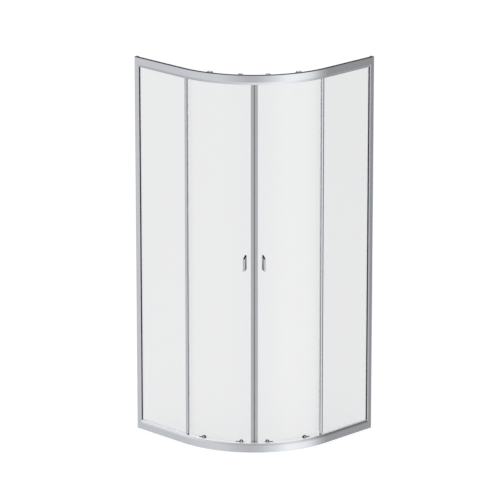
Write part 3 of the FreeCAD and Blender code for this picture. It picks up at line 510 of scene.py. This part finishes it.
def new_piece(name, shape, material, body, slot, *nodes):
    """Mesh piece that rides on a body, in place of CAD nodes where some are named."""
    mesh = bpy.data.meshes.new(name)
    mesh.from_pydata(shape[0], [], shape[1])
    build = bmesh.new()
    build.from_mesh(mesh)
    bmesh.ops.recalc_face_normals(build, faces=build.faces)
    build.to_mesh(mesh)
    build.free()
    mesh.materials.append(MATERIALS[material])
    mesh.shade_smooth()
    mesh.set_sharp_from_angle(angle=math.radians(SHARP_EDGE))
    thing = bpy.data.objects.new(name, mesh)
    bpy.context.scene.collection.objects.link(thing)
    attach(thing, body)
    if nodes:
        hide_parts(*nodes)


def handle_outline(depth, inset):
    """Outline of a handle with round ends at a depth from the glass: steps along the arc and heights."""
    share = depth / HANDLE_REACH
    half_width = HANDLE_WIDTH / 2 - inset
    half_height = (HANDLE_HEIGHT + (HANDLE_FRONT_HEIGHT - HANDLE_HEIGHT) * share) / 2 - inset
    points = []
    for end in (1, -1):
        for step in range(ROUND_STEPS + 1):
            turn = math.pi * step / ROUND_STEPS
            rise = half_height - half_width + half_width * math.sin(turn)
            points.append((HANDLE_LEAN * share + end * half_width * math.cos(turn),
                           HANDLE_LEVEL - HANDLE_DROOP * share + end * rise))
    return points


def make_handle(side):
    """Smooth slanted pull with a rounded front."""
    body = HANDLE_REACH - HANDLE_ROUND
    stations = [(0, 0), (body, 0)]
    for step in range(1, ROUND_STEPS + 1):
        turn = math.pi / 2 * step / ROUND_STEPS
        stations.append((body + HANDLE_ROUND * math.sin(turn), HANDLE_ROUND * (1 - math.cos(turn))))
    loops = [[door_spot(HANDLE_ANGLE, GLASS_OUT + depth, along, level, side == "left")
              for along, level in handle_outline(depth, inset)] for depth, inset in stations]
    new_piece(f"handle_grip_{side}", skin(loops), "chrome", f"{side}_door", "chrome", f"handle_{side}")


def turned(profile, angle, base, level, left, closed=False):
    """Turned shape about a radius of the arc, from radii and distances past its base."""
    turns = [math.tau * step / RING_STEPS for step in range(RING_STEPS)]
    loops = [[door_spot(angle, base + along, radius * math.cos(turn), level + radius * math.sin(turn), left)
              for turn in turns] for radius, along in profile]
    return skin(loops, closed)


def wheel_profile(wheel):
    """Half of a wheel's section mirrored: hub, sunk web, rounded rim and tread."""
    bore, rim, width = wheel["bore"], wheel["radius"], wheel["width"]
    hub, web = width * HUB_SINK_SHARE, width * WEB_SINK_SHARE
    half = [(bore, hub), (bore + HUB_WALL, hub), (bore + HUB_WALL + WALL_SLOPE, web),
            (rim - RIM_WALL - WALL_SLOPE, web), (rim - RIM_WALL, 0), (rim - TREAD_ROUND, 0),
            (rim - TREAD_ROUND_POINT, TREAD_ROUND_POINT), (rim, TREAD_ROUND)]
    return half + [(radius, width - along) for radius, along in reversed(half)]


def make_wheels(side):
    """Moulded wheels in place of the plain ones, pale at the top and dark at the bottom."""
    for name, angle, wheel, _, _ in CARRIERS:
        shape = turned(wheel_profile(wheel), angle, wheel["inner"], wheel["level"], side == "left", True)
        finish, slot = ("pale_nylon", "roller") if wheel is TOP_WHEEL else ("dark_nylon", "dark_plastic")
        body = f"{name}_wheel_{side}"
        new_piece(f"{name}_roller_{side}", shape, finish, body, slot, body)


def bolt_profile(length):
    """Shank and domed head of a carrier bolt."""
    dome = [(BOLT_HEAD * math.cos(turn), BOLT_RISE * math.sin(turn))
            for turn in (math.pi / 2 * step / ROUND_STEPS for step in range(ROUND_STEPS))]
    return [(BOLT_SHANK - BOLT_EDGE, -length), (BOLT_SHANK, BOLT_EDGE - length), (BOLT_SHANK, 0)] + dome


def nut_profile():
    """Rounded edge and side of a nut."""
    inset, rise = NUT_ROUND_POINT
    return [(NUT - NUT_ROUND, 0), (NUT - inset, rise), (NUT, NUT_ROUND), (NUT, NUT_HEIGHT)]


def make_bolts(side):
    """Carrier bolts with domed heads, and the nuts behind the bottom ones."""
    left = side == "left"
    shapes = []
    for _, angle, wheel, level, seat in CARRIERS:
        shapes.append(turned(bolt_profile(seat - CLAMP_FACE), angle, seat, level, left))
        if wheel is BOTTOM_WHEEL:
            shapes.append(turned(nut_profile(), angle, CLAMP_FACE - NUT_HEIGHT, level, left))
    new_piece(f"carrier_bolts_domed_{side}", joined(shapes), "satin_chrome", f"{side}_door", "chrome",
              f"carrier_bolts_{side}")


def make_fillers():
    """Strips that close the glazing grooves of both rails along the arc, where there is no fixed pane."""
    near, far = FILLER_DEPTHS
    top = RAIL_HEIGHT + FILLER_CROWN
    section = [(near, FILLER_FLOOR), (far, FILLER_FLOOR), (far, top - FILLER_EDGE), (far - FILLER_EDGE, top),
               (near + FILLER_EDGE, top), (near, top - FILLER_EDGE)]
    for rail, flipped in (("top", True), ("bottom", False)):
        loops = []
        for step in range(ARC_STEPS + 1):
            angle = FILLER_HALF_TURN * (2 * step / ARC_STEPS - 1)
            loops.append([door_spot(angle, RADIUS - depth, 0, HEIGHT - rise if flipped else rise, False)
                          for depth, rise in section])
        new_piece(f"{rail}_groove_filler", skin(loops), f"{rail}_rail_aluminium", "frame", "aluminium")


def make_beads():
    """Pale glazing beads on the lip of the bottom rail, in front of the feet of the fixed panes."""
    for side in ("right", "left"):
        loops = []
        for along in BEAD_ENDS:
            spots = [Vector((along, depth - HALF_SIDE, rise)) * MM for depth, rise in BEAD_SECTION]
            loops.append([spot.yxz for spot in spots] if side == "left" else spots)
        new_piece(f"glazing_bead_{side}", skin(loops), "milky_seal", "frame", "clear_seal")


def make_fine_pieces():
    """Fillers and beads of the rails, and pieces that are finer than the CAD solids they stand for."""
    make_fillers()
    make_beads()
    for side in ("right", "left"):
        make_handle(side)
        make_wheels(side)
        make_bolts(side)


# Stage


def seen_rays(tree):
    """1 for rays that show the plain background: from the camera and through glass."""
    path = add(tree, "LightPath")
    return calculated(tree, "MAXIMUM", path.outputs["Is Camera Ray"], path.outputs["Is Transmission Ray"])


def mirrored_rays(tree):
    """1 for rays that a glossy surface has thrown back."""
    return calculated(tree, "MINIMUM", add(tree, "LightPath").outputs["Glossy Depth"], 1.0)


def panel_row(tree, place, levels):
    """Brightness of one row of panels, by bearing. The ramp holds shares of the highest level."""
    ramp = add(tree, "ValToRGB", None, Fac=place)
    ramp.color_ramp.interpolation = "EASE"
    stops = ramp.color_ramp.elements
    while len(stops) < len(levels):
        stops.new(0.5)
    for stop, (degrees, level) in zip(stops, levels):
        stop.position = (degrees + 180) / 360
        share = level / HIGHEST_LEVEL
        stop.color = (share, share, share, 1)
    return calculated(tree, "MULTIPLY", ramp.outputs[0], HIGHEST_LEVEL)


def panels(tree):
    """Brightness of the studio panels in the direction of a ray."""
    way = add(tree, "TexCoord").outputs["Generated"]
    side = vectors(tree, "DOT_PRODUCT", way, RIGHT).outputs["Value"]
    near = vectors(tree, "DOT_PRODUCT", way, NEAR).outputs["Value"]
    bearing = calculated(tree, "ARCTAN2", side, near)
    place = add(tree, "MapRange", None, Value=bearing, From_Min=-math.pi, From_Max=math.pi).outputs[0]
    rise = calculated(tree, "ARCSINE", height_of(tree, way))
    below, levels = PANELS[0]
    level = panel_row(tree, place, levels)
    for degrees, levels in PANELS[1:]:
        share = add(tree, "MapRange", None, Value=rise, From_Min=math.radians(below),
                    From_Max=math.radians(degrees)).outputs[0]
        level = blended(tree, share, level, panel_row(tree, place, levels))
        below = degrees
    return level


def make_world():
    """White surroundings, which light the part at a plain level, with panels for gloss to show."""
    world = bpy.data.worlds.new("studio")
    world.use_nodes = True
    world.cycles.sampling_method = "NONE"
    tree = world.node_tree
    tree.nodes.clear()
    plain = spread(tree, seen_rays(tree), WORLD_LEVEL, 1.0)
    level = blended(tree, mirrored_rays(tree), plain, panels(tree))
    back = add(tree, "Background", None, Color=(1, 1, 1, 1), Strength=level)
    output = add(tree, "OutputWorld")
    tree.links.new(back.outputs[0], output.inputs[0])
    bpy.context.scene.world = world


def floor_material():
    """White floor that keeps shadows, and that gives way to the panels in reflections."""
    material, tree, output = new_material("floor_white")
    paper = add(tree, "BsdfDiffuse", None, Color=(FLOOR_ALBEDO, FLOOR_ALBEDO, FLOOR_ALBEDO, 1))
    glow = add(tree, "Emission", None, Strength=calculated(tree, "MULTIPLY", seen_rays(tree), FLOOR_GLOW))
    both = add(tree, "AddShader", None, _0=paper.outputs[0], _1=glow.outputs[0])
    clear = add(tree, "BsdfTransparent")
    mix = add(tree, "MixShader", None, _0=mirrored_rays(tree), _1=both.outputs[0], _2=clear.outputs[0])
    tree.links.new(mix.outputs[0], output.inputs[0])
    return material


def make_floor():
    """Plain floor, a large disc."""
    turns = [math.tau * step / FLOOR_STEPS for step in range(FLOOR_STEPS)]
    corners = [(FLOOR_RADIUS * math.cos(turn), FLOOR_RADIUS * math.sin(turn), -FLOOR_SINK) for turn in turns]
    mesh = bpy.data.meshes.new("floor")
    mesh.from_pydata(corners, [], [list(range(FLOOR_STEPS))])
    mesh.materials.append(floor_material())
    thing = bpy.data.objects.new("floor", mesh)
    bpy.context.scene.collection.objects.link(thing)


def place_facing(thing, spot, look):
    """Puts a lamp or a camera at a place, with its view along a direction."""
    thing.location = spot
    thing.rotation_mode = "QUATERNION"
    thing.rotation_quaternion = look.to_track_quat("-Z", "Y")
    bpy.context.scene.collection.objects.link(thing)


def make_lamps():
    """Soft key lamp at the front right and fill lamp at the left, which face the middle of the part."""
    for name, right, near, up, size, power in LAMPS:
        data = bpy.data.lights.new(name, "AREA")
        data.shape = "RECTANGLE"
        data.size, data.size_y = size
        data.energy = power
        thing = bpy.data.objects.new(name, data)
        thing.visible_camera = thing.visible_glossy = thing.visible_transmission = False
        spot = RIGHT * right + NEAR * near + Vector((0, 0, up))
        place_facing(thing, spot, MIDDLE - spot)


def make_camera():
    """Camera at the photograph's place."""
    data = bpy.data.cameras.new("camera")
    data.sensor_width = CAMERA_SENSOR
    data.lens = CAMERA_LENS
    data.shift_x = CAMERA_SHIFT
    data.clip_end = CAMERA_CLIP
    thing = bpy.data.objects.new("camera", data)
    tilt = math.radians(CAMERA_TILT)
    place_facing(thing, CAMERA_SPOT, -NEAR * math.cos(tilt) + Vector((0, 0, -math.sin(tilt))))
    bpy.context.scene.camera = thing


dress_frame()
make_fine_pieces()
make_world()
make_floor()
make_lamps()
make_camera()
bpy.context.scene.view_settings.view_transform = "Standard"
